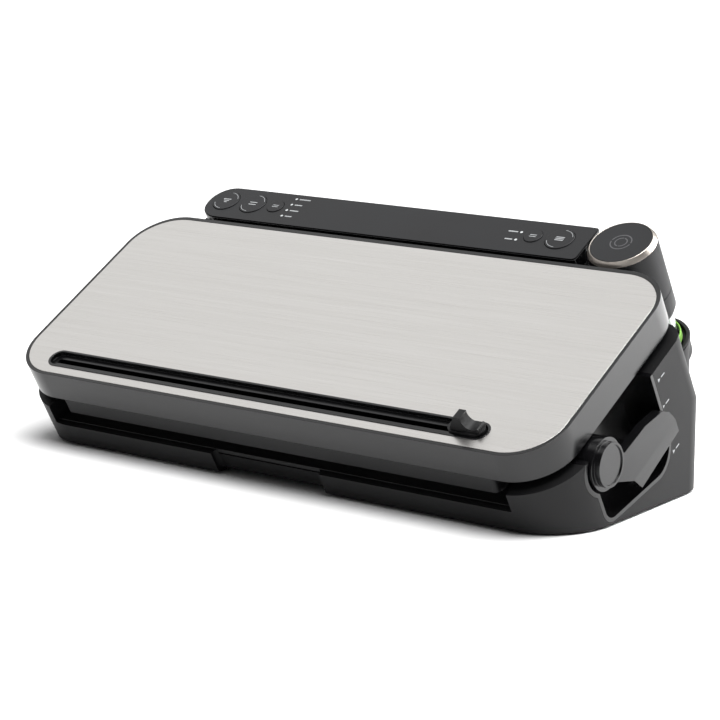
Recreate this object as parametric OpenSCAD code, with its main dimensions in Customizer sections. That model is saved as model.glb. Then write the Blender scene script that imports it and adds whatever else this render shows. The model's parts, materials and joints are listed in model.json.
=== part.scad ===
// Countertop vacuum sealer with a sloping lid, a control strip and a docked handheld wand.
// X runs to the right, Y to the back, Z up. Most pieces are drawn in the sloped frame of the
// lid: w runs up the slope from the front edge of the steel panel, n stands off its surface.

/* [Lid] */
// Width of the steel lid panel
panel_w = 400; // [360:5:480]
// Depth of the steel lid panel, measured up the slope
panel_d = 160; // [150:2:192]
// Corner radius of the steel lid panel
panel_r = 30; // [20:1:36]
// Thickness of the steel lid panel
panel_t = 0.8; // [0.6:0.1:1.2]
// Width of the lid rim that shows around the steel panel
rim_w = 2.2; // [1.6:0.1:4]
// Height of the side wall of the lid
lid_h = 20; // [18:0.5:24]
// Depth of the lid belly below the side wall
belly_h = 11; // [9:0.5:13]
// Slope of the lid above the table, in degrees
slope = 29.5; // [26:0.5:32]
// How far the lid opens, in degrees
lid_open = 62; // [40:1:62]

/* [Base] */
// Height of the lid surface above the base bottom at the front edge of the panel
front_z = 49; // [47:0.5:59]
// How far the base rim stands out past the lid on the latch side
side_over = 5.3; // [4:0.1:7]
// How far the base rim stands out past the lid on the other side
left_over = 0; // [0:0.1:7]
// How far the base rim stands out past the lid at the front
front_over = 5.2; // [4:0.1:7]
// Gap between the lid side wall and the base rim
neck_gap = 5; // [4:0.25:6]
// Height of the slot for the bag between lid belly and front lip
bag_gap = 6.5; // [6:0.25:8]
// Wall thickness of the base
wall = 2.5; // [2:0.1:3]
// Height of the rubber feet
foot_h = 1.5; // [1:0.25:4]
// Radius of the rubber feet
foot_r = 8; // [5:0.5:10]

/* [Controls] */
// Depth of the control strip, measured up the slope
strip_d = 33; // [30:1:40]
// Radius of the large round buttons
button_r = 9.6; // [8:0.2:10]
// Radius of the small round buttons
small_button_r = 6; // [4:0.2:7]
// Travel of a button
button_travel = 1; // [0.6:0.1:1.2]
// Gap around each button
button_gap = 0.3; // [0.2:0.05:0.4]

/* [Wand] */
// Radius of the handheld wand body
wand_r = 21.7; // [20:0.1:22.5]
// Length of the wand body, without its reservoir
wand_body_l = 55; // [50:1:56]
// Length of the clear reservoir
reservoir_l = 27; // [24:1:28]
// Gap between the wand and its dock
dock_gap = 0.6; // [0.5:0.1:1]

/* [Latch] */
// How far the latch lever stands out past the side of the base
lever_out = 5.5; // [4:0.5:8]
// Radius of the latch lever boss
boss_r = 15.5; // [12:0.5:16]
// Depth of the pocket that holds the latch lever
pocket_depth = 24.5; // [20:0.5:26]
// Radius of the latch shaft
shaft_r = 4; // [3:0.25:5]

/* [Cutter] */
// Width of the cutter slot in the lid
slot_w = 14; // [13:0.5:16]
// Width of the narrow slit that the cutter carriage runs in
slit_w = 3.6; // [3:0.1:4.4]
// Length of the cutter sled
sled_l = 24; // [22:1:34]

/* [Fits] */
// Radius of the hinge pins
hinge_pin_r = 3; // [2.5:0.25:3.5]
// Radial gap of a running fit
running_gap = 0.05; // [0.02:0.01:0.09]
// Gap between fixed pieces that drop into each other
seat_gap = 0.2; // [0.1:0.05:0.3]

/* [Hidden] */
$fn = 64;

black = "#1d1e20";
soft_black = "#26272a";
steel = "#c9c6c0";
dark_grey = "#3a3b3e";
circuit = "#1f5a3a";
eps = 0.01;
far = 400;

// Half widths and the lines of the sloped frame
half_w = panel_w / 2;
lid_x = half_w + rim_w;
lid_front = -rim_w;
lid_rear = panel_d + rim_w + 0.8;
base_x = lid_x + side_over;
base_left = -(lid_x + left_over);
base_front = lid_front - front_over;
base_rear = panel_d - 10;
rim_n = -(lid_h + neck_gap);
belly_n = -(lid_h + belly_h);
deck_n = belly_n - bag_gap;
front_corner_r = panel_r + 8;
rear_corner_r = 16;
lid_wall = 2.3;
skin = 1.8;
lid_corner_r = panel_r + rim_w;

// Where the sloped frame stands: the front wall meets the table at Y = 0
frame_n0 = -(front_z + sin(slope) * base_front) / cos(slope);
frame_y = -cos(slope) * base_front + sin(slope) * frame_n0;
function slope_y(w, n) = frame_y + cos(slope) * w - sin(slope) * n;
function slope_z(w, n) = front_z + sin(slope) * w + cos(slope) * n;

// Control strip and the tower that carries it
strip_n = -5;
overlay_t = 0.6;
strip_front = lid_rear + 9;
strip_rear = strip_front + strip_d;
strip_left = -(half_w - 24);
strip_right = half_w - 76;
strip_r = strip_d / 2 - 0.2;
panel_n = strip_n - overlay_t;
panel_skin = 2.2;
ledge_n = -14;
ledge_front = strip_front - 4;
tower_right = half_w - 27.3;
tower_back = slope_y(strip_rear, ledge_n) + 0.3;
base_back = tower_back - 12;
base_back_r = 24;

// Wand and its dock
wand_x = half_w - 52.3;
wand_w = strip_front + 17.7;
wand_top = -1.7;
ring_n = -5;
cap_r = wand_r - 2.4;
wand_foot = ring_n - wand_body_l + 3;
seam_n = -40;
reservoir_foot = wand_foot - reservoir_l;
nozzle_foot = reservoir_foot - 3;
well_r = wand_r + dock_gap;
well_step = wand_foot - 25;
well_foot = nozzle_foot - 1;
pod_r = well_r + 2.6;
pod_n = wand_foot - 22;
pod_back = slope_y(wand_w, well_step) + well_r * cos(slope) + 2;
body_clear = 2;
dock_wall = 1.2;

// Hinge
hinge_x = half_w - 90;
hinge_w = lid_rear - 5.5;
hinge_n = -8;
knuckle_r = hinge_pin_r + 2.2;
bracket_w = 13;
knuckle_w = 6;
knuckle_gap = 0.6;
hinge_notch = bracket_w + 2 * knuckle_gap + 1;

// Lid belly, bag slot and vacuum channel
opening_x = half_w - 26;
belly_x = half_w - 36;
belly_front = -1.5;
panel_front = lid_front + lid_wall + seat_gap;
belly_rear = 70;
belly_wall = 2;
deck_step = belly_rear + 6;
deck_t = 2.3;
deck_front = base_front + 4.3;
seal_w = [7, 15];
gasket_w = [22, 66];
gasket_x = belly_x - 4;
gasket_t = 4;
tray_w = [30, 58];
tray_x = gasket_x - 10;
tray_t = 1.2;
tray_n = deck_n - 10.5;
port_x = 60;
port_w = 44;
port_r = 3.5;
hose_bore_r = 2.2;

// Latch pocket and lever
pivot_w = 41;
pivot_n = rim_n - 12;
pocket_x = base_x - pocket_depth;
pocket_w = [29.5, 103];
pocket_tilt = 14;
pocket_front = [38.5, rim_n - 38.5];
pocket_front_r = 9;
pocket_rear_w = 87;
pocket_rear_r = pocket_w[1] - pocket_rear_w;
lever_x = base_x + lever_out;
paddle_x = lid_x + 2;
cam_x = opening_x + 1;
cam_r = 9;
striker_r = 1.4;
striker_n = pivot_n + cam_r + striker_r + 1.2;

// Cutter slot
slot_x = [-(half_w - 24.5), half_w - 41.5];
slot_mid = 13.5;
rail_foot = -9;
rail_top = 0.4;
sled_w = slot_w - 3.6;
sled_right = slot_x[1] - 2.5;
sled_left = sled_right - sled_l;
sled_n = -2.2;

// Finger notch in the front wall
notch_x = [-44, 38.5];
notch_foot_z = 3;

// Pump, boards and screws
pump_y = 116;
pump_z = slope_z(port_w, deck_n) - 18;
head_size = [40, 40];
motor_r = 15;
motor_l = 56;
motor_shaft_r = 1.5;
screw_r = 1.5;
screw_head_r = 3;
cover_x = [strip_left + 26, strip_right - 24];
cover_z = [16, 112];
cover_t = 2.5;
inlet_x = cover_x[0] + 26;
inlet_z = cover_z[0] + 18;

// Round control positions along the strip: x, w, radius
mid_w = strip_front + 17.7;
round_controls = [
  [strip_left + 15, mid_w, button_r],
  [strip_left + 38, mid_w, button_r],
  [strip_left + 57.3, mid_w, small_button_r],
  [strip_right - 39.7, mid_w, small_button_r],
  [strip_right - 20.4, mid_w, button_r]];
lens_r = 0.9;
food_lenses = [for (i = [0 : 3]) [strip_left + 68.4, strip_front + 9.2 + 6.1 * i]];
wand_lenses = [for (i = [0 : 1]) [strip_right - 49.6, strip_front + 12.6 + 7.6 * i]];
lens_places = concat(food_lenses, wand_lenses);

// Frames: the origin lies under the middle of the whole object
front_y = slope_y(lid_front, 0);
module place()
  translate([-(lever_x + base_left) / 2, -(front_y + pod_back) / 2, foot_h]) children();
module sloped()
  place() translate([0, frame_y, front_z]) rotate([slope, 0, 0]) children();
module n_prism(n0, n1)
  sloped() translate([0, 0, n0]) linear_extrude(n1 - n0) children();
module x_prism(x0, x1)
  sloped() translate([x0, 0, 0]) rotate([90, 0, 90]) linear_extrude(x1 - x0) children();
module w_prism(w0, w1)
  sloped() translate([0, w1, 0]) rotate([90, 0, 0]) linear_extrude(w1 - w0) children();
module z_prism(z0, z1)
  place() translate([0, 0, z0]) linear_extrude(z1 - z0) children();
module n_cyl(x, w, n0, n1, r1, r2 = -1)
  sloped() translate([x, w, n0]) cylinder(h = n1 - n0, r1 = r1, r2 = r2 < 0 ? r1 : r2);
module x_cyl(x0, x1, w, n, r)
  sloped() translate([x0, w, n]) rotate([0, 90, 0]) cylinder(h = x1 - x0, r = r);

// A rectangle between two x and two y lines, with a corner radius in front and one behind
module corner_cut(r)
  difference() {
    translate([-1, -1]) square(r + 1);
    translate([r, r]) circle(r);
  }
module plate(x, y, front_r, back_r)
  difference() {
    translate([x[0], y[0]]) square([x[1] - x[0], y[1] - y[0]]);
    if (front_r > 0) {
      translate([x[0], y[0]]) corner_cut(front_r);
      translate([x[1], y[0]]) mirror([1, 0]) corner_cut(front_r);
    }
    if (back_r > 0) {
      translate([x[0], y[1]]) mirror([0, 1]) corner_cut(back_r);
      translate([x[1], y[1]]) mirror([1, 0]) mirror([0, 1]) corner_cut(back_r);
    }
  }
module ring(x, y, r, t)
  difference() {
    plate(x, y, r, r);
    plate([x[0] + t, x[1] - t], [y[0] + t, y[1] - t], max(r - t, 0.5), max(r - t, 0.5));
  }

// ---- Base shell ----

// The outer form, drawn smaller by inset all round and lower by drop
module wedge_form(inset, drop, z0)
  intersection() {
    n_prism(-far, rim_n - drop)
      plate([base_left + inset, base_x - inset], [base_front + inset, base_rear - inset],
            front_corner_r - inset, rear_corner_r - inset);
    z_prism(z0, far)
      plate([base_left + inset, base_x - inset], [-far, base_back - inset], 0,
            base_back_r - inset);
  }
module tower_form(inset, drop, z0)
  intersection() {
    union() {
      n_prism(-far, rim_n - drop)
        plate([strip_left + inset, strip_right - inset], [base_rear - 40, strip_rear - inset],
              0, strip_r - inset);
      n_prism(-far, ledge_n + (inset > 0 ? 1 : 0))
        plate([strip_left + inset, strip_right - inset], [ledge_front + inset, strip_rear - inset],
              0, strip_r - inset);
      n_prism(-far, pod_n - drop)
        plate([strip_left + inset, tower_right - inset], [base_rear - 40, strip_rear - inset],
              0, strip_r - inset);
    }
    z_prism(z0, far)
      plate([strip_left + inset, tower_right - inset], [0, tower_back - inset], 0, 8);
  }
module pod_form(inset, top)
  intersection() {
    n_prism(-far, top)
      plate([wand_x - pod_r + inset, wand_x + pod_r - inset],
            [base_rear - 30, wand_w + pod_r - inset], 0, pod_r - inset - eps);
    z_prism(-inset, far)
      plate([wand_x - pod_r + inset, wand_x + pod_r - inset], [base_back - 40, pod_back - inset],
            0, pod_r - inset - eps);
  }
module outer_form() {
  wedge_form(0, 0, 0);
  tower_form(0, 0, 0);
  pod_form(0, pod_n);
}
module cavity() {
  wedge_form(wall, wall, -1);
  tower_form(wall, wall, -1);
  pod_form(wall, well_foot - wall);
}
// The latch pocket: two round corners joined by a falling floor, open at the rim, and a round
// hollow about the lever's pivot
pocket_dr = pocket_front_r - pocket_rear_r;
pocket_run = (pocket_rear_w - pocket_front[0] + pocket_dr * sin(pocket_tilt)) / cos(pocket_tilt);
pocket_rear = [pocket_rear_w,
               pocket_front[1] - pocket_dr * cos(pocket_tilt) - sin(pocket_tilt) * pocket_run];
module pocket_shape(grow) {
  floor_way = [-sin(pocket_tilt), -cos(pocket_tilt)];
  translate(pocket_front) circle(pocket_front_r + grow);
  translate(pocket_rear) circle(pocket_rear_r + grow);
  polygon([[pocket_w[0] - grow, rim_n + 10], [pocket_w[0] - grow, pocket_front[1]],
           pocket_front, pocket_front + (pocket_front_r + grow) * floor_way,
           pocket_rear + (pocket_rear_r + grow) * floor_way, pocket_rear,
           [pocket_w[1] + grow, pocket_rear[1]], [pocket_w[1] + grow, rim_n + 10]]);
  translate([pivot_w, pivot_n]) circle(boss_r + 1.4 + grow);
}
module side_pocket(grow)
  x_prism(pocket_x - grow, base_x + (grow > 0 ? 0 : 5)) pocket_shape(grow);
module dock_space(grow)
  n_cyl(wand_x, wand_w, well_foot - wall - grow, pod_n + eps, well_r + dock_wall + grow);

// Local thickening inside the shell, trimmed to the outer form
module inner_walls() {
  w_prism(base_front - 1, deck_front - seat_gap)
    translate([-opening_x, deck_n - 4]) square([2 * opening_x, 4]);
  w_prism(base_front - 1, deck_front + wall)
    translate([notch_x[0] - wall, deck_n - 60]) square([notch_x[1] - notch_x[0] + 2 * wall, 58]);
  for (side = [-1, 1])
    n_prism(deck_n - deck_t, rim_n)
      translate([side > 0 ? opening_x : -opening_x - wall, base_front])
        square([wall, deck_step + wall - base_front]);
}
// The bag opening through the front wall, and the hole that the deck drops into
module front_opening() {
  n_prism(deck_n, rim_n + 1)
    translate([-opening_x, base_front - 1]) square([2 * opening_x, deck_step - base_front + 1]);
  n_prism(deck_n - deck_t - 1, rim_n + 1)
    translate([-opening_x, deck_front - seat_gap])
      square([2 * opening_x, deck_step - deck_front + seat_gap]);
}
module rear_opening()
  n_prism(rim_n - wall - 1, rim_n + 1)
    plate([-opening_x - 14, opening_x - 14], [deck_step - 1, base_rear - 6], 0, 6);
module finger_notch() {
  n_prism(-far, deck_n + eps)
    translate([notch_x[0], base_front - 1])
      plate([0, notch_x[1] - notch_x[0]], [0, deck_front - base_front + 1], 0, 3.5);
  place() translate([notch_x[0], -10, -1])
    cube([notch_x[1] - notch_x[0], 30, notch_foot_z + 1]);
}
module base_screw_places()
  for (x = [-1, 1])
    for (y = [30, base_back - 22])
      translate([(x > 0 ? base_x : base_left) - x * (wall + 4), y, 0]) children();
module lower_housing()
  color(black) difference() {
    union() {
      difference() {
        outer_form();
        cavity();
      }
      intersection() {
        outer_form();
        inner_walls();
      }
      place() base_screw_places() translate([0, 0, wall + seat_gap]) cylinder(h = 9, r = 4.5);
    }
    front_opening();
    rear_opening();
    finger_notch();
    x_prism(pocket_x - wall - seat_gap, base_x + 5) pocket_shape(wall + seat_gap);
    dock_space(seat_gap);
    n_cyl(wand_x, wand_w, pod_n, pod_n + 2, pod_r);
    n_cyl(wand_x, wand_w, pod_n, 60, well_r + body_clear);
    n_prism(pivot_n - cam_r - 3, rim_n + 1)
      translate([opening_x - 1, pivot_w - cam_r - 3])
        square([pocket_x - wall - opening_x + 1, 2 * cam_r + 6]);
    place() translate([cover_x[0], tower_back - wall - 1, cover_z[0]])
      cube([cover_x[1] - cover_x[0], wall + 2, cover_z[1] - cover_z[0]]);
    place() base_screw_places() {
      cylinder(h = 9, r = screw_r + seat_gap);
      cylinder(h = 1 + seat_gap, r = screw_head_r + seat_gap);
    }
  }
module latch_pocket()
  color(black) difference() {
    intersection() {
      outer_form();
      side_pocket(wall);
    }
    side_pocket(0);
    x_cyl(pocket_x - wall - 1, pocket_x + 1, pivot_w, pivot_n, shaft_r + running_gap);
  }
module wand_dock()
  color(soft_black) difference() {
    union() {
      dock_space(0);
      n_cyl(wand_x, wand_w, pod_n + eps, pod_n + 1.2, pod_r - 0.3);
    }
    n_cyl(wand_x, wand_w, well_step, pod_n + 2, well_r);
    n_cyl(wand_x, wand_w, well_foot, well_step + 1, cap_r);
  }
module base_plate()
  color(soft_black) difference() {
    union() {
      intersection() {
        union() {
          wedge_form(wall + seat_gap, wall, 0);
          tower_form(wall + seat_gap, wall, 0);
        }
        z_prism(0, wall) translate([-far, notch_foot_z + 9]) square([2 * far, far]);
      }
      for (x = [board_x[0] + 6, board_x[1] - 6])
        for (y = [board_y[0] + 6, board_y[1] - 6])
          z_prism(wall - eps, board_z) translate([x, y]) circle(3);
    }
    place() base_screw_places() {
      translate([0, 0, -1]) cylinder(h = wall + 3, r = screw_r + seat_gap);
      translate([0, 0, -1]) cylinder(h = 2, r = screw_head_r + seat_gap);
    }
    x_prism(pocket_x - wall - seat_gap, base_x + 5) pocket_shape(wall + seat_gap);
    for (x = [-40 : 8 : 40])
      z_prism(-1, wall + 1) translate([x, 60]) plate([-1.5, 1.5], [0, 24], 1.4, 1.4);
  }
module foot_places()
  for (x = [-1, 1])
    for (y = [24, base_back - 20])
      translate([(x > 0 ? base_x : base_left) - x * 48, y, 0]) children();
module rubber_feet()
  color(dark_grey) place() foot_places()
    translate([0, 0, -foot_h]) cylinder(h = foot_h, r1 = foot_r - 0.6, r2 = foot_r);
module screw(length)
  union() {
    cylinder(h = 1, r = screw_head_r);
    cylinder(h = length, r = screw_r);
  }
module base_screws()
  color(steel) place() base_screw_places() screw(7);

// ---- Deck, vacuum channel and sealing parts ----

module top_deck()
  color(soft_black) difference() {
    union() {
      x_prism(-opening_x + seat_gap, opening_x - seat_gap)
        polygon([[deck_front, deck_n - deck_t], [deck_front, deck_n + 0.6],
                 [deck_front + 1, deck_n + 0.6], [deck_front + 1, deck_n],
                 [deck_step - 3, deck_n], [deck_step - 3, rim_n - 0.3],
                 [deck_step - seat_gap, rim_n - 0.3], [deck_step - seat_gap, deck_n - deck_t]]);
      n_prism(rim_n - wall, rim_n - 0.3)
        plate([-opening_x - 14 + seat_gap, opening_x - 14 - seat_gap],
              [deck_step - 3, base_rear - 6 - seat_gap], 0, 6);
    }
    n_prism(deck_n - deck_t - 1, deck_n + 1)
      translate([-tray_x, tray_w[0]]) square([2 * tray_x, tray_w[1] - tray_w[0]]);
    n_prism(rim_n - wall - 1, rim_n + 1)
      translate([-opening_x - 20, deck_step - 4]) square([20 + seat_gap, 4 + seat_gap]);
  }
module drip_tray()
  color(dark_grey) difference() {
    union() {
      n_prism(tray_n, deck_n + 0.5)
        translate([-tray_x + seat_gap, tray_w[0] + seat_gap])
          square([2 * (tray_x - seat_gap), tray_w[1] - tray_w[0] - 2 * seat_gap]);
      n_prism(deck_n + eps, deck_n + 0.8)
        plate([-tray_x - 2, tray_x + 2], [tray_w[0] - 2, tray_w[1] + 2], 3, 3);
      n_cyl(port_x, port_w, tray_n - 3, tray_n + 1, port_r);
    }
    n_prism(tray_n + tray_t, deck_n + 2)
      plate([-tray_x + seat_gap + tray_t, tray_x - seat_gap - tray_t],
            [tray_w[0] + seat_gap + tray_t, tray_w[1] - seat_gap - tray_t], 2, 2);
    n_cyl(port_x, port_w, tray_n - 4, tray_n + 2, hose_bore_r);
  }
module lower_gasket()
  color("#2f3033")
    n_prism(deck_n + eps, deck_n + 2.2) ring([-gasket_x, gasket_x], gasket_w, 10, gasket_t);
module upper_gasket()
  color("#2f3033")
    n_prism(belly_n - bag_gap + 2.7, belly_n - eps)
      ring([-gasket_x, gasket_x], gasket_w, 10, gasket_t);
module seal_bar()
  color(dark_grey)
    n_prism(deck_n + eps, deck_n + 1.4)
      translate([-gasket_x, seal_w[0]]) square([2 * gasket_x, seal_w[1] - seal_w[0]]);
module heating_strip()
  color("#8d5a3c")
    n_prism(deck_n + 1.4 + eps, deck_n + 1.7)
      translate([-gasket_x + 4, seal_w[0] + 1.5])
        square([2 * gasket_x - 8, seal_w[1] - seal_w[0] - 3]);
module pressure_bar()
  color("#4a4b4f")
    n_prism(belly_n - bag_gap + 2.3, belly_n - eps)
      translate([-gasket_x, seal_w[0]]) square([2 * gasket_x, seal_w[1] - seal_w[0]]);

// ---- Hinge ----

module hinge_brackets()
  color(dark_grey)
    for (side = [-1, 1])
      difference() {
        union() {
          x_cyl(side * hinge_x - bracket_w / 2, side * hinge_x + bracket_w / 2,
                hinge_w, hinge_n, knuckle_r);
          x_prism(side * hinge_x - bracket_w / 2, side * hinge_x + bracket_w / 2)
            translate([hinge_w - knuckle_r + 0.4, rim_n + eps])
              square([2 * knuckle_r - 0.8, hinge_n - rim_n]);
        }
        x_cyl(side * hinge_x - bracket_w, side * hinge_x + bracket_w,
              hinge_w, hinge_n, hinge_pin_r + 0.02);
      }
module hinge_pins()
  color(steel)
    for (side = [-1, 1])
      x_cyl(side * hinge_x - bracket_w / 2 - knuckle_w - 1.5,
            side * hinge_x + bracket_w / 2 + knuckle_w + 1.5, hinge_w, hinge_n, hinge_pin_r);

// ---- Pump, boards and back ----

board_x = [strip_left + 8, strip_left + 118];
board_y = [76, 140];
board_z = 8;
board_t = 1.6;
hose_n = tray_n - 10;
hose_y = slope_y(port_w, hose_n);
hose_z = slope_z(port_w, hose_n);
head_y0 = pump_y - head_size[1] / 2;
head_x0 = port_x - head_size[0] / 2;
shaft_z = hose_z + 6;

module pump_head()
  color(soft_black) difference() {
    place() translate([head_x0, head_y0, wall + eps])
      cube([head_size[0], head_size[1], shaft_z + 18 - wall]);
    place() translate([head_x0 + 6, pump_y, shaft_z]) rotate([0, 90, 0])
      cylinder(h = head_size[0] - 12, r = 12);
    place() translate([head_x0 - 1, pump_y, shaft_z]) rotate([0, 90, 0])
      cylinder(h = 10, r = motor_shaft_r + running_gap);
    place() translate([port_x, head_y0 - 1, hose_z]) rotate([-90, 0, 0])
      cylinder(h = 12, r = hose_bore_r);
  }
module pump_motor()
  color(steel) difference() {
    place() translate([head_x0 - motor_l - eps, pump_y, shaft_z]) rotate([0, 90, 0])
      cylinder(h = motor_l, r = motor_r);
    place() translate([head_x0 - motor_l - 1, pump_y, shaft_z]) rotate([0, 90, 0])
      cylinder(h = motor_l + 2, r = motor_shaft_r + running_gap);
  }
module pump_shaft()
  color(steel) {
    place() translate([head_x0 - motor_l - 6, pump_y, shaft_z]) rotate([0, 90, 0])
      cylinder(h = motor_l + 6 + 20, r = motor_shaft_r);
    place() translate([head_x0 + 12, pump_y + 2, shaft_z]) rotate([0, 90, 0])
      cylinder(h = 8, r = 6);
  }
// The hose drops from the tray's port to a round elbow and runs back to the pump
module hose_way(r, joint_r) {
  sloped() translate([port_x, port_w, hose_n]) cylinder(h = tray_n - 3 - eps - hose_n, r = r);
  place() translate([port_x, hose_y, hose_z]) {
    rotate([-90, 0, 0]) cylinder(h = head_y0 - hose_y - eps, r = r);
    sphere(joint_r);
  }
}
module vacuum_hose()
  color("#7d8084") difference() {
    hose_way(port_r, port_r + 0.8);
    hose_way(hose_bore_r, hose_bore_r + 0.4);
  }
module power_board()
  color(circuit) place() translate([board_x[0], board_y[0], board_z + eps])
    cube([board_x[1] - board_x[0], board_y[1] - board_y[0], board_t]);
module transformer()
  color("#6b5a2a") place()
    translate([board_x[0] + 16, board_y[0] + 24, board_z + board_t + 2 * eps]) {
      cube([38, 32, 28]);
      translate([46, 4, 0]) cube([14, 24, 16]);
    }
board_n = panel_n - 12.6;
switch_n = board_n + 2.8;
module control_board()
  color(circuit) n_prism(board_n - board_t, board_n - eps)
    translate([strip_left + 8, strip_front + 4])
      square([strip_right - strip_left - 20, strip_d - 13]);
module tact_switches()
  color(dark_grey)
    for (c = round_controls)
      n_prism(board_n, switch_n) translate([c[0] - 3, c[1] - 3]) square(6);
module cover_screw_places()
  for (x = [cover_x[0] + 8, cover_x[1] - 8])
    for (z = [cover_z[0] + 8, cover_z[1] - 8])
      translate([x, tower_back, z]) rotate([90, 0, 0]) children();
module rear_cover()
  color(black) difference() {
    place() translate([cover_x[0] + seat_gap, tower_back - cover_t, cover_z[0] + seat_gap])
      cube([cover_x[1] - cover_x[0] - 2 * seat_gap, cover_t,
            cover_z[1] - cover_z[0] - 2 * seat_gap]);
    for (i = [0 : 13])
      place() translate([cover_x[0] + 88 + i * 8, tower_back - cover_t - 1, cover_z[0] + 44])
        cube([3, cover_t + 2, 34]);
    place() translate([inlet_x, tower_back + 1, inlet_z]) rotate([90, 0, 0])
      linear_extrude(cover_t + 2) plate([-12, 12], [-9, 9], 3, 3);
    place() cover_screw_places() {
      translate([0, 0, -1]) cylinder(h = cover_t + 2, r = screw_r + seat_gap);
      translate([0, 0, -1]) cylinder(h = 2.2, r = screw_head_r + seat_gap);
    }
  }
module rear_cover_screws()
  color(steel) place() cover_screw_places() translate([0, 0, 0.1]) screw(6);
module power_inlet()
  color(dark_grey) difference() {
    place() translate([inlet_x, tower_back - 0.2, inlet_z]) rotate([90, 0, 0])
      linear_extrude(16) plate([-12 + seat_gap, 12 - seat_gap], [-9 + seat_gap, 9 - seat_gap],
                               3, 3);
    place() translate([inlet_x, tower_back + 1, inlet_z]) rotate([90, 0, 0])
      linear_extrude(13) plate([-9, 9], [-5, 5], 4.5, 4.5);
  }

// ---- Control strip ----

// The strip's outline: a half-round left end and a squared right end
module strip_shape(inset) {
  strip_y = [strip_front + inset, strip_rear - inset];
  plate([strip_left + inset, strip_right - strip_d], strip_y, strip_r - inset, strip_r - inset);
  plate([strip_left + strip_d, strip_right - inset], strip_y, 3, 3);
}
module panel_housing()
  color(soft_black) difference() {
    n_prism(ledge_n + eps, panel_n) strip_shape(0);
    n_prism(ledge_n - 1, panel_n - panel_skin) strip_shape(2);
    for (c = round_controls)
      n_cyl(c[0], c[1], ledge_n, panel_n + 1, c[2] + button_gap);
    for (p = lens_places)
      n_cyl(p[0], p[1], ledge_n, panel_n + 1, lens_r + 0.1);
    n_cyl(wand_x, wand_w, ledge_n - 1, panel_n + 1, well_r + body_clear);
  }
module panel_overlay()
  color("#34353a") difference() {
    n_prism(panel_n + eps, strip_n) strip_shape(0.8);
    for (c = round_controls)
      n_cyl(c[0], c[1], panel_n - 1, strip_n + 1, c[2] + button_gap);
    for (p = lens_places)
      n_cyl(p[0], p[1], panel_n - 1, strip_n + 1, lens_r + 0.1);
    n_cyl(wand_x, wand_w, panel_n - 1, strip_n + 1, well_r + body_clear);
  }
module indicator_lenses()
  color("white")
    for (p = lens_places)
      n_cyl(p[0], p[1], panel_n - panel_skin, strip_n + 0.1, lens_r);
module round_button(index)
  color("#2b2c30") {
    c = round_controls[index];
    n_cyl(c[0], c[1], panel_n - panel_skin - 3, strip_n + 0.5, c[2]);
    n_cyl(c[0], c[1], panel_n - panel_skin - 3, panel_n - panel_skin - 0.1, c[2] + 1);
    n_cyl(c[0], c[1], switch_n + button_travel + 0.1, panel_n - panel_skin - 2, 1.8);
  }
module vacuum_button() round_button(0);
module seal_button() round_button(1);
module food_mode_button() round_button(2);
module wand_mode_button() round_button(3);
module wand_button() round_button(4);

// ---- Lid ----

module lid_shape(inset)
  plate([-lid_x + inset, lid_x - inset], [lid_front + inset, lid_rear - inset],
        lid_corner_r - inset, lid_corner_r - inset);
module slot_shape(inset)
  plate([slot_x[0] + inset, slot_x[1] - inset],
        [slot_mid - slot_w / 2 + inset, slot_mid + slot_w / 2 - inset],
        slot_w / 2 - inset - eps, slot_w / 2 - inset - eps);
module lid_frame()
  color(black) difference() {
    union() {
      difference() {
        n_prism(-lid_h, 0) lid_shape(0);
        n_prism(-lid_h - 1, -panel_t - skin) lid_shape(lid_wall);
      }
      for (side = [-1, 1])
        for (end = [-1, 1])
          lid_knuckle(side * hinge_x + end * (bracket_w / 2 + knuckle_gap + knuckle_w / 2));
    }
    n_prism(-panel_t, 1)
      plate([-half_w, half_w], [0, panel_d], panel_r, panel_r);
    n_prism(-lid_h, 1) slot_shape(0);
    for (side = [-1, 1])
      x_prism(side * hinge_x - hinge_notch / 2, side * hinge_x + hinge_notch / 2)
        translate([hinge_w - knuckle_r - 3, -lid_h - 1])
          square([30, lid_h + 1 + hinge_n + knuckle_r + 0.2]);
    for (side = [-1, 1])
      x_cyl(side * hinge_x - 20, side * hinge_x + 20, hinge_w, hinge_n,
            hinge_pin_r + running_gap);
  }
module lid_knuckle(x)
  x_prism(x - knuckle_w / 2, x + knuckle_w / 2)
    translate([hinge_w - knuckle_r - 1, hinge_n - knuckle_r])
      square([lid_rear - lid_wall - hinge_w + knuckle_r + 1 + eps,
              knuckle_r - hinge_n - panel_t - skin + eps]);
module steel_panel()
  color(steel) difference() {
    n_prism(-panel_t + eps, 0)
      plate([-half_w + 0.15, half_w - 0.15], [0.15, panel_d - 0.15], panel_r, panel_r);
    n_prism(-2, 1) slot_shape(-0.1);
  }
module lid_screw_places()
  for (x = [-lid_x + 22, 0, lid_x - 22])
    for (w = [belly_rear + 16, lid_rear - 26])
      translate([x, w, -lid_h]) children();
inner_t = 2;
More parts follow.
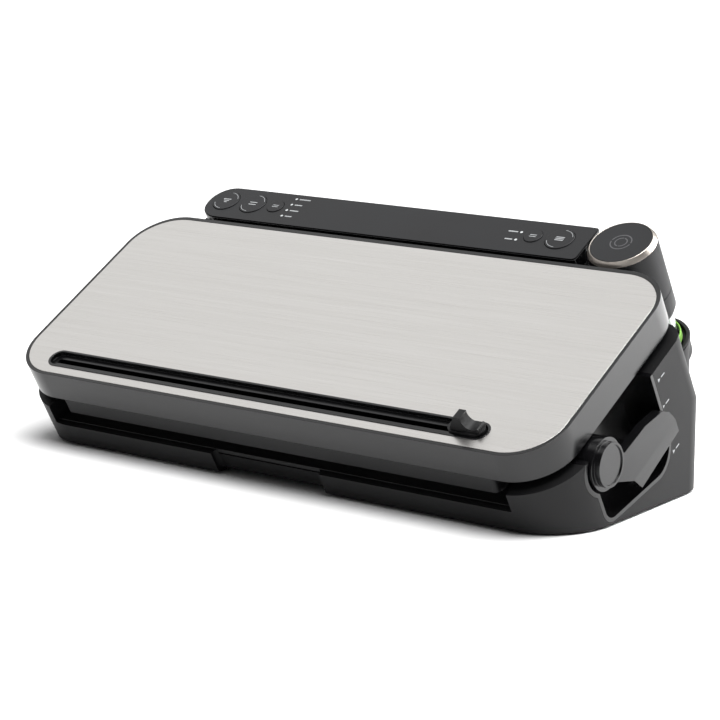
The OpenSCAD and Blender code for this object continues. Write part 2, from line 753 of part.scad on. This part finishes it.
module lid_inner_panel()
  color(soft_black) difference() {
    union() {
      n_prism(-lid_h + eps, -lid_h + inner_t) lid_shape(lid_wall + seat_gap);
      n_prism(belly_n, -lid_h - seat_gap)
        plate([-belly_x, belly_x], [belly_front, belly_rear], 3, 3);
      n_prism(-lid_h - 1, -lid_h + inner_t)
        plate([-belly_x, belly_x], [panel_front, belly_rear], 3, 3);
      sloped() lid_screw_places() translate([0, 0, 1]) cylinder(h = 8, r = 4);
    }
    n_prism(belly_n + belly_wall, 0)
      plate([-belly_x + belly_wall, belly_x - belly_wall],
            [panel_front + belly_wall, belly_rear - belly_wall], 1, 1);
    for (side = [-1, 1])
      n_prism(-lid_h - 1, 0)
        translate([side * hinge_x - hinge_notch / 2 - knuckle_w - 2, hinge_w - knuckle_r - 3])
          square([hinge_notch + 2 * knuckle_w + 4, 30]);
    sloped() lid_screw_places() {
      translate([0, 0, -1]) cylinder(h = 8, r = screw_r + seat_gap);
      translate([0, 0, -1]) cylinder(h = 2, r = screw_head_r + seat_gap);
    }
  }
module lid_screws()
  color(steel) sloped() lid_screw_places() screw(6);
module latch_striker()
  color(steel) {
    n_prism(striker_n - 2.4, -lid_h - eps)
      translate([cam_x - 6, pivot_w - 4]) square([3, 8]);
    x_cyl(cam_x - 4, cam_x + 4.5, pivot_w, striker_n, striker_r);
  }

// ---- Bag cutter ----

module cutter_rail()
  color(black) difference() {
    union() {
      n_prism(rail_foot, 0.01) slot_shape(0.1);
      n_prism(0.01, rail_top) slot_shape(-0.4);
    }
    n_prism(sled_n - 0.2, 2) slot_shape(1.2);
    n_prism(rail_foot - 1, 2)
      translate([slot_x[0] + 5, slot_mid - slit_w / 2]) square([slot_x[1] - slot_x[0] - 10, slit_w]);
  }
module cutter_carriage()
  color(dark_grey) {
    n_prism(rail_foot - 3, sled_n)
      translate([sled_left + 6, slot_mid - slit_w / 2 + 0.3]) square([sled_l - 12, slit_w - 0.6]);
    n_prism(rail_foot - 3, rail_foot - 0.3)
      translate([sled_left + 3, slot_mid - 5]) square([sled_l - 6, 10]);
  }
module cutter_blade()
  color(steel)
    x_prism(sled_left + 5, sled_left + 17)
      translate([slot_mid - 0.3, rail_foot - 8]) square([0.6, 5 - eps]);
knob_h = 11;
knob_low = 4.2;
knob_scoop_r = 6;
module cutter_knob()
  color(soft_black) difference() {
    union() {
      n_prism(sled_n + eps, 1.6)
        plate([sled_left, sled_right], [slot_mid - sled_w / 2, slot_mid + sled_w / 2],
              sled_w / 2 - eps, sled_w / 2 - eps);
      w_prism(slot_mid - 3.8, slot_mid + 3.8)
        polygon([[sled_left + 2.5, 1], [sled_left + 8, knob_h], [sled_right - 10.5, knob_h],
                 [sled_right - 1, knob_low], [sled_right - 1, 1]]);
    }
    sloped() translate([sled_right - 5.5, slot_mid + 20, knob_low + 5.3]) rotate([90, 0, 0])
      cylinder(h = 40, r = knob_scoop_r);
  }

// ---- Latch ----

paddle = [[0, 13], [13, -3], [17, -5.5], [41, -6.5], [59, -10.7], [64, -15], [66, -21],
          [66, -31], [19, -33.5], [14.2, -24.2], [0, -13]];
paddle_reach = pocket_w[1] - pivot_w - 1.5;
// The paddle's outer face: upright along its lower edge, leaning inwards above
paddle_face = [[paddle_x, pivot_n - 40], [lever_x, pivot_n - 40], [lever_x, pivot_n - 23],
               [lever_x - 5.5, pivot_n + 14], [paddle_x, pivot_n + 14]];
module latch_lever()
  color(black) difference() {
    union() {
      x_cyl(pocket_x + 1, base_x + 1.5, pivot_w, pivot_n, boss_r);
      difference() {
        x_cyl(paddle_x, lever_x - 0.5, pivot_w, pivot_n, boss_r - 2.5);
        x_cyl(lever_x - 1.3, lever_x, pivot_w, pivot_n, boss_r - 4);
      }
      intersection() {
        x_prism(paddle_x, lever_x) translate([pivot_w, pivot_n]) polygon(paddle);
        union() {
          x_cyl(base_x + 0.6, lever_x, pivot_w, pivot_n, 90);
          x_cyl(paddle_x - 1, base_x + 0.7, pivot_w, pivot_n, paddle_reach);
        }
        w_prism(pivot_w - 40, pivot_w + 80) polygon(paddle_face);
      }
    }
    x_cyl(pocket_x, pocket_x + 9, pivot_w, pivot_n, shaft_r);
  }
module latch_shaft()
  color(steel) {
    x_cyl(cam_x, pocket_x + 9, pivot_w, pivot_n, shaft_r);
    x_cyl(cam_x, cam_x + 5, pivot_w, pivot_n, cam_r);
  }

// ---- Handheld wand ----

module wand_cyl(n0, n1, r1, r2 = -1) n_cyl(wand_x, wand_w, n0, n1, r1, r2);
module wand_cap()
  color("#2d2e32") wand_cyl(wand_top - 2, wand_top, cap_r - 0.1);
module wand_ring()
  color("#b8b0a4") difference() {
    wand_cyl(ring_n + eps, wand_top, wand_r, cap_r + 0.4);
    wand_cyl(wand_top - 2 - eps, wand_top + 1, cap_r);
    wand_cyl(ring_n - 1, wand_top, cap_r - 2);
  }
module wand_upper_body()
  color(black) difference() {
    wand_cyl(seam_n, ring_n, wand_r);
    wand_cyl(seam_n - 1, ring_n - 2, wand_r - 2.2);
  }
module wand_lower_body()
  color(black) difference() {
    union() {
      wand_cyl(wand_foot + 4, seam_n - 0.3, wand_r);
      wand_cyl(wand_foot, wand_foot + 4, wand_r - 2, wand_r);
    }
    wand_cyl(wand_foot + 2, seam_n + 1, wand_r - 2.2);
  }
module wand_pump()
  color(dark_grey) wand_cyl(wand_foot + 2 + eps, seam_n + 24, 13);
module wand_reservoir()
  color([0.85, 0.9, 0.9, 0.4]) difference() {
    wand_cyl(reservoir_foot, wand_foot - eps, cap_r - 2.6, cap_r - 0.4);
    wand_cyl(reservoir_foot + 1.6, wand_foot + 1, cap_r - 4.2, cap_r - 2);
  }
module wand_seal()
  color("#5ac23a") difference() {
    wand_cyl(wand_foot - 22, wand_foot - 17, cap_r + 0.6);
    wand_cyl(wand_foot - 23, wand_foot - 16, cap_r - 0.3);
  }
module wand_nozzle()
  color(dark_grey) wand_cyl(nozzle_foot, reservoir_foot - eps, 5, 7);

lower_housing();
base_plate();
rubber_feet();
base_screws();
top_deck();
drip_tray();
lower_gasket();
seal_bar();
heating_strip();
hinge_brackets();
hinge_pins();
pump_head();
pump_motor();
pump_shaft();
vacuum_hose();
power_board();
transformer();
control_board();
tact_switches();
rear_cover();
rear_cover_screws();
power_inlet();
panel_housing();
panel_overlay();
indicator_lenses();
lid_frame();
steel_panel();
lid_inner_panel();
lid_screws();
upper_gasket();
pressure_bar();
latch_striker();
cutter_rail();
cutter_knob();
cutter_carriage();
cutter_blade();
latch_pocket();
latch_lever();
latch_shaft();
wand_dock();
vacuum_button();
seal_button();
food_mode_button();
wand_mode_button();
wand_button();
wand_cap();
wand_ring();
wand_upper_body();
wand_lower_body();
wand_pump();
wand_reservoir();
wand_seal();
wand_nozzle();
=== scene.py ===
"""Looks of a countertop vacuum sealer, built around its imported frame."""
import json
import math

import bmesh
import bpy
from mathutils import Matrix, Vector


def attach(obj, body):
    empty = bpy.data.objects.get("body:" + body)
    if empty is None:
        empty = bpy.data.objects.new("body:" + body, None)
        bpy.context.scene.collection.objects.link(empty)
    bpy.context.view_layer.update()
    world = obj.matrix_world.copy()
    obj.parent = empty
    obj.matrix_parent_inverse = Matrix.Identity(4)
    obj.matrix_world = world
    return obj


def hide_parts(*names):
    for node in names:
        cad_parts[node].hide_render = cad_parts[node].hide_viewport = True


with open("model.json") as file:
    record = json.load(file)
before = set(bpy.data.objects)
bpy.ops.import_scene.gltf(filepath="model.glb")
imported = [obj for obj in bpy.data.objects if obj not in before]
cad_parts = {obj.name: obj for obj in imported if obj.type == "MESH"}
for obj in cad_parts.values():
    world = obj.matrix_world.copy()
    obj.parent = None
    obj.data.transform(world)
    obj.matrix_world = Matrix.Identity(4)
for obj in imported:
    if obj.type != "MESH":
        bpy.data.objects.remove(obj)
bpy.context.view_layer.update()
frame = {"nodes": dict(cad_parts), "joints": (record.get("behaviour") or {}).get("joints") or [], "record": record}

MM = 0.001

# Camera: the angle at which the object is seen, and what it looks at
VIEW_AZIMUTH = math.radians(37.17)
VIEW_ELEVATION = math.radians(12.09)
VIEW_DISTANCE = 1.4636
VIEW_LENS = 122.6
VIEW_AIM = Vector((0.02605, -0.0507, 0.0733))


# ---------------------------------------------------------------- sloped frame

def joint(name):
    return next(j for j in frame["joints"] if j["name"] == name)


NORMAL = Vector(joint("wand_lift")["axis"]).normalized()
UPSLOPE = Vector((0, NORMAL.z, -NORMAL.y))
SLOPE = math.atan2(UPSLOPE.z, UPSLOPE.y)


def along(node, direction):
    """Lowest and highest place of a node's points along a direction."""
    places = [v.co.dot(direction) for v in frame["nodes"][node].data.vertices]
    return min(places), max(places)


def sloped_matrix(x, w, n):
    """A place in the lid's sloped frame, with local X right, Y up the slope, Z off the lid."""
    turn = Matrix.Rotation(SLOPE, 4, "X")
    return Matrix.Translation(Vector((x, 0, 0)) + UPSLOPE * w + NORMAL * n) @ turn


def middle(node, direction):
    """Place of a node's middle along a direction."""
    low, high = along(node, direction)
    return (low + high) / 2


def top_of(node):
    """Highest place of a node along the lid's normal."""
    return along(node, NORMAL)[1]


# ---------------------------------------------------------------- materials

def new_material(name, colour, roughness=0.5, metallic=0.0, specular=0.5, sheen=0.0):
    """A material with its node tree and its main shader, for more nodes to be linked in."""
    mat = bpy.data.materials.new(name)
    mat.use_nodes = True
    shader = mat.node_tree.nodes["Principled BSDF"]
    shader.inputs["Base Color"].default_value = (*colour, 1)
    shader.inputs["Roughness"].default_value = roughness
    shader.inputs["Metallic"].default_value = metallic
    shader.inputs["Specular IOR Level"].default_value = specular
    shader.inputs["Sheen Weight"].default_value = sheen
    return mat, mat.node_tree, shader


def place_node(tree, rotate=(0, 0, 0)):
    """Object coordinates, turned if asked."""
    coords = tree.nodes.new("ShaderNodeTexCoord")
    mapping = tree.nodes.new("ShaderNodeMapping")
    mapping.inputs["Rotation"].default_value = rotate
    tree.links.new(coords.outputs["Object"], mapping.inputs["Vector"])
    return mapping.outputs["Vector"]


def stretch_node(tree, vector, scale):
    mapping = tree.nodes.new("ShaderNodeMapping")
    mapping.inputs["Scale"].default_value = scale
    tree.links.new(vector, mapping.inputs["Vector"])
    return mapping.outputs["Vector"]


def noise_node(tree, vector, scale, detail=4, roughness=0.6):
    noise = tree.nodes.new("ShaderNodeTexNoise")
    noise.inputs["Scale"].default_value = scale
    noise.inputs["Detail"].default_value = detail
    noise.inputs["Roughness"].default_value = roughness
    tree.links.new(vector, noise.inputs["Vector"])
    return noise.outputs["Fac"]


def range_node(tree, value, low, high, out_low, out_high):
    node = tree.nodes.new("ShaderNodeMapRange")
    for socket, number in (("From Min", low), ("From Max", high),
                           ("To Min", out_low), ("To Max", out_high)):
        node.inputs[socket].default_value = number
    tree.links.new(value, node.inputs["Value"])
    return node.outputs["Result"]


def mix_node(tree, factor, colour_a, colour_b):
    node = tree.nodes.new("ShaderNodeMix")
    node.data_type = "RGBA"
    node.inputs["A"].default_value = (*colour_a, 1)
    node.inputs["B"].default_value = (*colour_b, 1)
    tree.links.new(factor, node.inputs["Factor"])
    return node.outputs["Result"]


def bump_node(tree, height, distance, strength=1.0):
    node = tree.nodes.new("ShaderNodeBump")
    node.inputs["Distance"].default_value = distance
    node.inputs["Strength"].default_value = strength
    tree.links.new(height, node.inputs["Height"])
    return node.outputs["Normal"]


def moulded(name, dark, light, roughness, grain=900, depth=0.00003, specular=0.5, sheen=0.0):
    """Moulded plastic: a fine spark-eroded grain, and a slow drift in colour and gloss."""
    mat, tree, shader = new_material(name, dark, roughness, 0, specular, sheen)
    here = place_node(tree)
    fine = noise_node(tree, here, grain, 3)
    slow = noise_node(tree, here, 14, 3)
    tree.links.new(mix_node(tree, range_node(tree, slow, 0.35, 0.65, 0, 1), dark, light),
                   shader.inputs["Base Color"])
    tree.links.new(range_node(tree, slow, 0.3, 0.7, roughness - 0.03, roughness + 0.04),
                   shader.inputs["Roughness"])
    tree.links.new(bump_node(tree, fine, depth, 0.6), shader.inputs["Normal"])
    return mat


def brushed(name, light, dark, roughness, turn):
    """Brushed metal: fine long lines along X, in a plane turned about X, over wider bands."""
    mat, tree, shader = new_material(name, light, roughness, 1.0)
    here = place_node(tree, (-turn, 0, 0))
    lines = noise_node(tree, stretch_node(tree, here, (4, 900, 4)), 3, 5, 0.7)
    bands = noise_node(tree, stretch_node(tree, here, (1.5, 160, 1.5)), 3, 3, 0.5)
    mixed = tree.nodes.new("ShaderNodeMath")
    mixed.operation = "MULTIPLY_ADD"
    mixed.inputs[1].default_value = 0.7
    tree.links.new(lines, mixed.inputs[0])
    tree.links.new(range_node(tree, bands, 0, 1, 0, 0.3), mixed.inputs[2])
    tree.links.new(mix_node(tree, range_node(tree, mixed.outputs[0], 0.3, 0.7, 0, 1), dark, light),
                   shader.inputs["Base Color"])
    tree.links.new(range_node(tree, lines, 0.3, 0.7, roughness - 0.05, roughness + 0.07),
                   shader.inputs["Roughness"])
    tree.links.new(bump_node(tree, lines, 0.000012, 0.5), shader.inputs["Normal"])
    return mat


def plain_metal(name, light, dark, roughness):
    """Turned or plated metal with a slight haze."""
    mat, tree, shader = new_material(name, light, roughness, 1.0)
    haze = noise_node(tree, place_node(tree), 60, 4)
    tree.links.new(mix_node(tree, haze, dark, light), shader.inputs["Base Color"])
    tree.links.new(range_node(tree, haze, 0.3, 0.7, roughness - 0.04, roughness + 0.06),
                   shader.inputs["Roughness"])
    return mat


def clear_plastic(name):
    """Clear moulding with a faint haze."""
    mat, tree, shader = new_material(name, (0.93, 0.96, 0.95), 0.12)
    shader.inputs["Transmission Weight"].default_value = 0.9
    shader.inputs["IOR"].default_value = 1.46
    haze = noise_node(tree, place_node(tree), 40, 3)
    tree.links.new(mix_node(tree, haze, (0.86, 0.91, 0.9), (0.96, 0.98, 0.97)),
                   shader.inputs["Base Color"])
    tree.links.new(range_node(tree, haze, 0.3, 0.7, 0.08, 0.2), shader.inputs["Roughness"])
    return mat


def soft_rubber(name, dark, light, roughness=0.7):
    return moulded(name, dark, light, roughness, 1400, 0.00004, 0.3, sheen=0.15)


def board(name):
    """Circuit board: solder mask over a faint net of tracks."""
    mat, tree, shader = new_material(name, (0.02, 0.12, 0.05), 0.35)
    net = tree.nodes.new("ShaderNodeTexVoronoi")
    net.feature = "DISTANCE_TO_EDGE"
    net.inputs["Scale"].default_value = 240
    tree.links.new(place_node(tree), net.inputs["Vector"])
    tree.links.new(mix_node(tree, range_node(tree, net.outputs["Distance"], 0.0, 0.1, 0, 1),
                            (0.05, 0.22, 0.09), (0.015, 0.1, 0.04)),
                   shader.inputs["Base Color"])
    return mat


MATERIALS = {
    "black_body": moulded("black_body_grain", (0.004, 0.004, 0.0045), (0.006, 0.006, 0.0065), 0.46,
                          1100, 0.00004, 0.22),
    "black_lid": moulded("black_lid_gloss", (0.003, 0.003, 0.0035), (0.004, 0.004, 0.0045), 0.20,
                         700, 0.000008, 0.5),
    "wand_black": moulded("wand_black_satin", (0.006, 0.006, 0.007), (0.008, 0.008, 0.009), 0.42,
                          900, 0.00002, 0.22),
    "deck_black": moulded("deck_black_grain", (0.006, 0.006, 0.0065), (0.009, 0.009, 0.0095), 0.5,
                          900, 0.00004, 0.3),
    "panel_film": moulded("panel_film_satin", (0.012, 0.012, 0.013), (0.015, 0.0155, 0.017), 0.42,
                          2000, 0.00001, 0.3),
    "steel": brushed("steel_brushed", (0.72, 0.705, 0.685), (0.62, 0.605, 0.58), 0.30, SLOPE),
    "bright_steel": plain_metal("bright_steel_turned", (0.75, 0.75, 0.76), (0.6, 0.6, 0.61), 0.25),
    "ring_metal": plain_metal("ring_metal_warm", (0.62, 0.57, 0.52), (0.54, 0.49, 0.44), 0.34),
    "rubber_black": soft_rubber("rubber_black_fine", (0.012, 0.012, 0.012), (0.02, 0.02, 0.02)),
    "gasket_foam": soft_rubber("gasket_foam_cells", (0.035, 0.035, 0.038), (0.06, 0.06, 0.065),
                               0.85),
    "green_seal": soft_rubber("green_seal_silicone", (0.13, 0.34, 0.02), (0.18, 0.44, 0.04), 0.4),
    "clear_plastic": clear_plastic("clear_plastic_haze"),
    "lens_white": moulded("lens_white_frost", (0.55, 0.57, 0.58), (0.7, 0.72, 0.72), 0.35),
    "board_green": board("board_green_mask"),
    "copper": plain_metal("copper_windings", (0.62, 0.36, 0.18), (0.35, 0.2, 0.1), 0.4),
    "heat_tape": moulded("heat_tape_weave", (0.30, 0.16, 0.08), (0.42, 0.24, 0.13), 0.6, 1600,
                         0.00005),
    "hose_grey": soft_rubber("hose_grey_soft", (0.16, 0.165, 0.17), (0.2, 0.205, 0.21), 0.45),
    "print": moulded("print_grey", (0.36, 0.37, 0.38), (0.42, 0.43, 0.44), 0.55),
    "print_dim": moulded("print_dim", (0.07, 0.07, 0.075), (0.085, 0.085, 0.09), 0.5),
}
# Nodes that look other than their slot's usual material
LOOK_OF = {"wand_upper_body": "wand_black", "wand_lower_body": "wand_black"}

SLOT_OF = {s["node"]: s["material_slot"] for s in frame["record"]["subparts"]}
BODY_OF = {n: body for body, members in frame["record"]["behaviour"]["bodies"].items()
           for n in members}


def set_material(obj, material):
    obj.data.materials.clear()
    obj.data.materials.append(MATERIALS[material])
    for face in obj.data.polygons:
        face.material_index = 0


for node, obj in frame["nodes"].items():
    set_material(obj, LOOK_OF.get(node, SLOT_OF[node]))


# ---------------------------------------------------------------- pieces

def link(obj):
    bpy.context.scene.collection.objects.link(obj)


def add_piece(name, mesh, body, material):
    """A visual piece that moves with a body and keeps to a material slot."""
    obj = bpy.data.objects.new(name, mesh)
    link(obj)
    set_material(obj, material)
    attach(obj, body)
    return obj


def apply_modifiers(obj):
    depsgraph = bpy.context.evaluated_depsgraph_get()
    mesh = bpy.data.meshes.new_from_object(obj.evaluated_get(depsgraph))
    obj.modifiers.clear()
    obj.data = mesh


WELD_GAP = 2e-6
FLAT_ANGLE = math.radians(0.6)
EDGE_ANGLE = math.radians(30)
SHARP_ANGLE = math.radians(40)
EDGE_STEPS = 3


def rounded_copy(node, width_mm):
    """Stands for a CAD node with every hard edge rounded."""
    work = bmesh.new()
    work.from_mesh(frame["nodes"][node].data)
    bmesh.ops.remove_doubles(work, verts=work.verts, dist=WELD_GAP)
    bmesh.ops.dissolve_limit(work, angle_limit=FLAT_ANGLE, verts=work.verts, edges=work.edges)
    mesh = bpy.data.meshes.new(node + "_shape")
    work.to_mesh(mesh)
    work.free()
    slot = SLOT_OF[node]
    piece = add_piece(node + "_rounded", mesh, BODY_OF[node], LOOK_OF.get(node, slot))
    bevel = piece.modifiers.new("round", "BEVEL")
    bevel.width = width_mm * MM
    bevel.segments = EDGE_STEPS
    bevel.limit_method = "ANGLE"
    bevel.angle_limit = EDGE_ANGLE
    bevel.use_clamp_overlap = True
    apply_modifiers(piece)
    piece.data.shade_smooth()
    piece.data.set_sharp_from_angle(angle=SHARP_ANGLE)
    weight = piece.modifiers.new("weight", "WEIGHTED_NORMAL")
    weight.keep_sharp = True
    apply_modifiers(piece)
    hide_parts(node)


# Nodes whose edges are rounded, with the width of the rounding in mm
ROUNDED = {
    "lower_housing": 0.8, "lid_frame": 1.1, "panel_housing": 0.9, "panel_overlay": 0.2,
    "cutter_rail": 0.25, "cutter_knob": 0.7, "latch_lever": 1.0, "top_deck": 0.5,
    "rear_cover": 0.5, "wand_cap": 0.5, "wand_ring": 0.3, "wand_upper_body": 0.4,
    "wand_lower_body": 0.6, "lid_inner_panel": 0.6, "power_inlet": 0.4, "base_plate": 0.4,
    "drip_tray": 0.4, "steel_panel": 0.15, "vacuum_button": 0.35, "seal_button": 0.35,
    "food_mode_button": 0.35, "wand_mode_button": 0.35, "wand_button": 0.35,
    "rubber_feet": 0.3, "lower_gasket": 0.6, "upper_gasket": 0.6, "pressure_bar": 0.4,
    "seal_bar": 0.3, "wand_reservoir": 0.4, "wand_seal": 0.6, "wand_nozzle": 0.6,
    "hinge_brackets": 0.4, "latch_striker": 0.2, "latch_pocket": 0.5, "wand_dock": 0.5,
}
for node, width in ROUNDED.items():
    rounded_copy(node, width)


# ---------------------------------------------------------------- printed marks

PRINT_T = 0.06 * MM


def flat_mark(name, outlines, matrix, body, material="print"):
    """Thin raised print: each outline is a closed line of (x, y) in mm, filled."""
    work = bmesh.new()
    for outline in outlines:
        points = [work.verts.new((x * MM, y * MM, 0)) for x, y in outline]
        face = work.faces.new(points)
        raised = bmesh.ops.extrude_face_region(work, geom=[face])["geom"]
        for item in raised:
            if isinstance(item, bmesh.types.BMVert):
                item.co.z += PRINT_T
    bmesh.ops.recalc_face_normals(work, faces=work.faces)
    mesh = bpy.data.meshes.new(name + "_shape")
    work.to_mesh(mesh)
    work.free()
    mesh.transform(matrix)
    add_piece(name, mesh, body, material)


def bar(x, y, length, height):
    """A bar from x to the right, centred on y."""
    return [(x, y - height / 2), (x + length, y - height / 2), (x + length, y + height / 2),
            (x, y + height / 2)]


def arc_band(radius, width, start, end, steps=24):
    """A curved band about the origin between two angles, as one outline."""
    turn = [math.radians(start + (end - start) * i / steps) for i in range(steps + 1)]
    outer = [(math.cos(a) * radius, math.sin(a) * radius) for a in turn]
    inner = [(math.cos(a) * (radius - width), math.sin(a) * (radius - width))
             for a in reversed(turn)]
    return outer + inner


ACROSS = Vector((1, 0, 0))
ICONS = {
    "vacuum_button": [bar(-3.2, 1.5, 6.4, 0.7), bar(-2.2, 0, 4.4, 0.7), bar(-1.2, -1.5, 2.4, 0.7)],
    "seal_button": [bar(-3, 1.1, 6, 0.7), bar(-3, -1.1, 6, 0.7)],
    "food_mode_button": [bar(-2.4, 0.8, 4.8, 0.55), bar(-2.4, -0.8, 4.8, 0.55)],
    "wand_mode_button": [bar(-2.4, 0.8, 4.8, 0.55), bar(-2.4, -0.8, 4.8, 0.55)],
    "wand_button": [bar(-3, 1.4, 6, 0.7), bar(-3, 0, 6, 0.7), bar(-3, -1.4, 6, 0.7)],
}
LARGE_BUTTONS = ("vacuum_button", "seal_button", "wand_button")
RING_R = 8.4
RING_LINE = 0.3


def button_marks():
    """An icon on each button, and two arcs round it on the large ones."""
    for node, icon in ICONS.items():
        spot = sloped_matrix(middle(node, ACROSS), middle(node, UPSLOPE), top_of(node))
        outlines = list(icon)
        if node in LARGE_BUTTONS:
            outlines += [arc_band(RING_R, RING_LINE, a, a + 70) for a in (20, 200)]
        flat_mark(node + "_icon", outlines, spot, BODY_OF[node])


LENS_REACH = 2.5 * MM
LABEL_GAP = 2.6
LABEL_LENGTHS = (5.5, 7, 6, 9)


def lens_centres():
    """Centre (x, w) of each indicator lens, found by grouping the node's points."""
    groups = []
    for vertex in frame["nodes"]["indicator_lenses"].data.vertices:
        spot = (vertex.co.x, vertex.co.dot(UPSLOPE))
        near = next((g for g in groups if math.dist(g[0], spot) < LENS_REACH), None)
        if near:
            near.append(spot)
        else:
            groups.append([spot])
    return [tuple((min(s[i] for s in g) + max(s[i] for s in g)) / 2 for i in (0, 1))
            for g in sorted(groups)]


def strip_labels():
    """A short printed bar beside each indicator lens, on the side away from the buttons."""
    top = top_of("panel_overlay")
    for index, (x, w) in enumerate(lens_centres()):
        length = LABEL_LENGTHS[index % len(LABEL_LENGTHS)]
        start = LABEL_GAP if x < 0 else -LABEL_GAP - length
        flat_mark(f"lens_label_{index}", [bar(start, 0, length, 1.0)], sloped_matrix(x, w, top),
                  "base")


def cap_mark():
    """Two broken rings on the wand's cap."""
    spot = sloped_matrix(middle("wand_cap", ACROSS), middle("wand_cap", UPSLOPE),
                         top_of("wand_cap"))
    line = 0.7
    outlines = [arc_band(radius, line, a, a + 170)
                for radius, starts in ((7, (0, 180)), (4.2, (90, 270))) for a in starts]
    flat_mark("wand_cap_mark", outlines, spot, "wand", "print_dim")


# Position marks by the lever: up the slope and off the lid from its pivot, and size, in mm
LATCH_MARKS = ((67.8, 4.1, 2.4), (65.3, -13.4, 2.0), (62.1, -45.1, 2.4))
# Turns a mark's flat plane into the side wall, so that it reads along the slope
ONTO_SIDE = Matrix(((0, 0, 1, 0), (1, 0, 0, 0), (0, 1, 0, 0), (0, 0, 0, 1)))


def latch_marks():
    """Printed position marks on the side wall behind the latch lever."""
    side = along("lower_housing", ACROSS)[1]
    pivot = Vector(joint("latch_pivot")["pos_m"])
    turn = Matrix.Rotation(SLOPE, 4, "X") @ ONTO_SIDE
    for index, (w, n, size) in enumerate(LATCH_MARKS):
        spot = pivot + UPSLOPE * (w * MM) + NORMAL * (n * MM)
        matrix = Matrix.Translation((side, spot.y, spot.z)) @ turn
        outlines = [[(0, -size / 2), (size, 0), (0, size / 2)], bar(size + 1.2, 0, 4, 0.7)]
        flat_mark(f"latch_mark_{index}", outlines, matrix, "base")


button_marks()
strip_labels()
cap_mark()
latch_marks()


# ---------------------------------------------------------------- floor, light, camera

FLOOR_HALF = 14.0


def make_floor():
    """Plain white paper that fills the view."""
    mesh = bpy.data.meshes.new("floor_mesh")
    points = [(x * FLOOR_HALF, y * FLOOR_HALF, 0) for x, y in ((-1, -1), (1, -1), (1, 1), (-1, 1))]
    mesh.from_pydata(points, [], [(0, 1, 2, 3)])
    floor = bpy.data.objects.new("floor", mesh)
    link(floor)
    mat, tree, shader = new_material("floor_paper", (0.93, 0.93, 0.93), 0.9, 0, 0.1)
    grain = noise_node(tree, place_node(tree), 3, 2)
    tree.links.new(mix_node(tree, grain, (0.92, 0.92, 0.92), (0.94, 0.94, 0.94)),
                   shader.inputs["Base Color"])
    floor.data.materials.append(mat)


def facing(direction):
    """Rotation of a lamp or a camera that looks along a direction."""
    return Vector(direction).to_track_quat("-Z", "Y").to_euler()


def area_light(name, place, aim, size, power):
    data = bpy.data.lights.new(name, "AREA")
    data.energy = power
    data.shape = "SQUARE"
    data.size = size
    lamp = bpy.data.objects.new(name, data)
    lamp.location = place
    lamp.rotation_euler = facing(Vector(aim) - Vector(place))
    link(lamp)


def sun_light(name, towards, angle, power):
    data = bpy.data.lights.new(name, "SUN")
    data.energy = power
    data.angle = math.radians(angle)
    lamp = bpy.data.objects.new(name, data)
    lamp.rotation_euler = facing(-Vector(towards))
    link(lamp)


def make_light():
    """A dim room, so that black plastic stays black, with three soft lights in it."""
    world = bpy.data.worlds.new("studio")
    bpy.context.scene.world = world
    world.use_nodes = True
    world.node_tree.nodes["Background"].inputs["Color"].default_value = (1, 1, 1, 1)
    world.node_tree.nodes["Background"].inputs["Strength"].default_value = 0.14
    # The box that the steel panel mirrors
    area_light("lid_box", (-1.25, 0.45, 1.6), (0, 0, 0.08), 1.9, 9.2)
    # The box that brightens the floor mirrored by the faces on the right
    area_light("floor_box", (0.75, 0.75, 0.65), (0.62, 0.62, 0), 0.9, 20)
    sun_light("sky", (0.25, -0.15, 1), 36, 3.7)


def make_camera():
    """Looks at the object from the angle given above."""
    data = bpy.data.cameras.new("camera")
    data.lens = VIEW_LENS
    data.sensor_width = 36
    camera = bpy.data.objects.new("camera", data)
    level = math.cos(VIEW_ELEVATION)
    away = Vector((math.sin(VIEW_AZIMUTH) * level, -math.cos(VIEW_AZIMUTH) * level,
                   math.sin(VIEW_ELEVATION)))
    camera.location = VIEW_AIM + away * VIEW_DISTANCE
    camera.rotation_euler = facing(-away)
    link(camera)
    bpy.context.scene.camera = camera


make_floor()
make_light()
make_camera()
bpy.context.scene.view_settings.view_transform = "Standard"
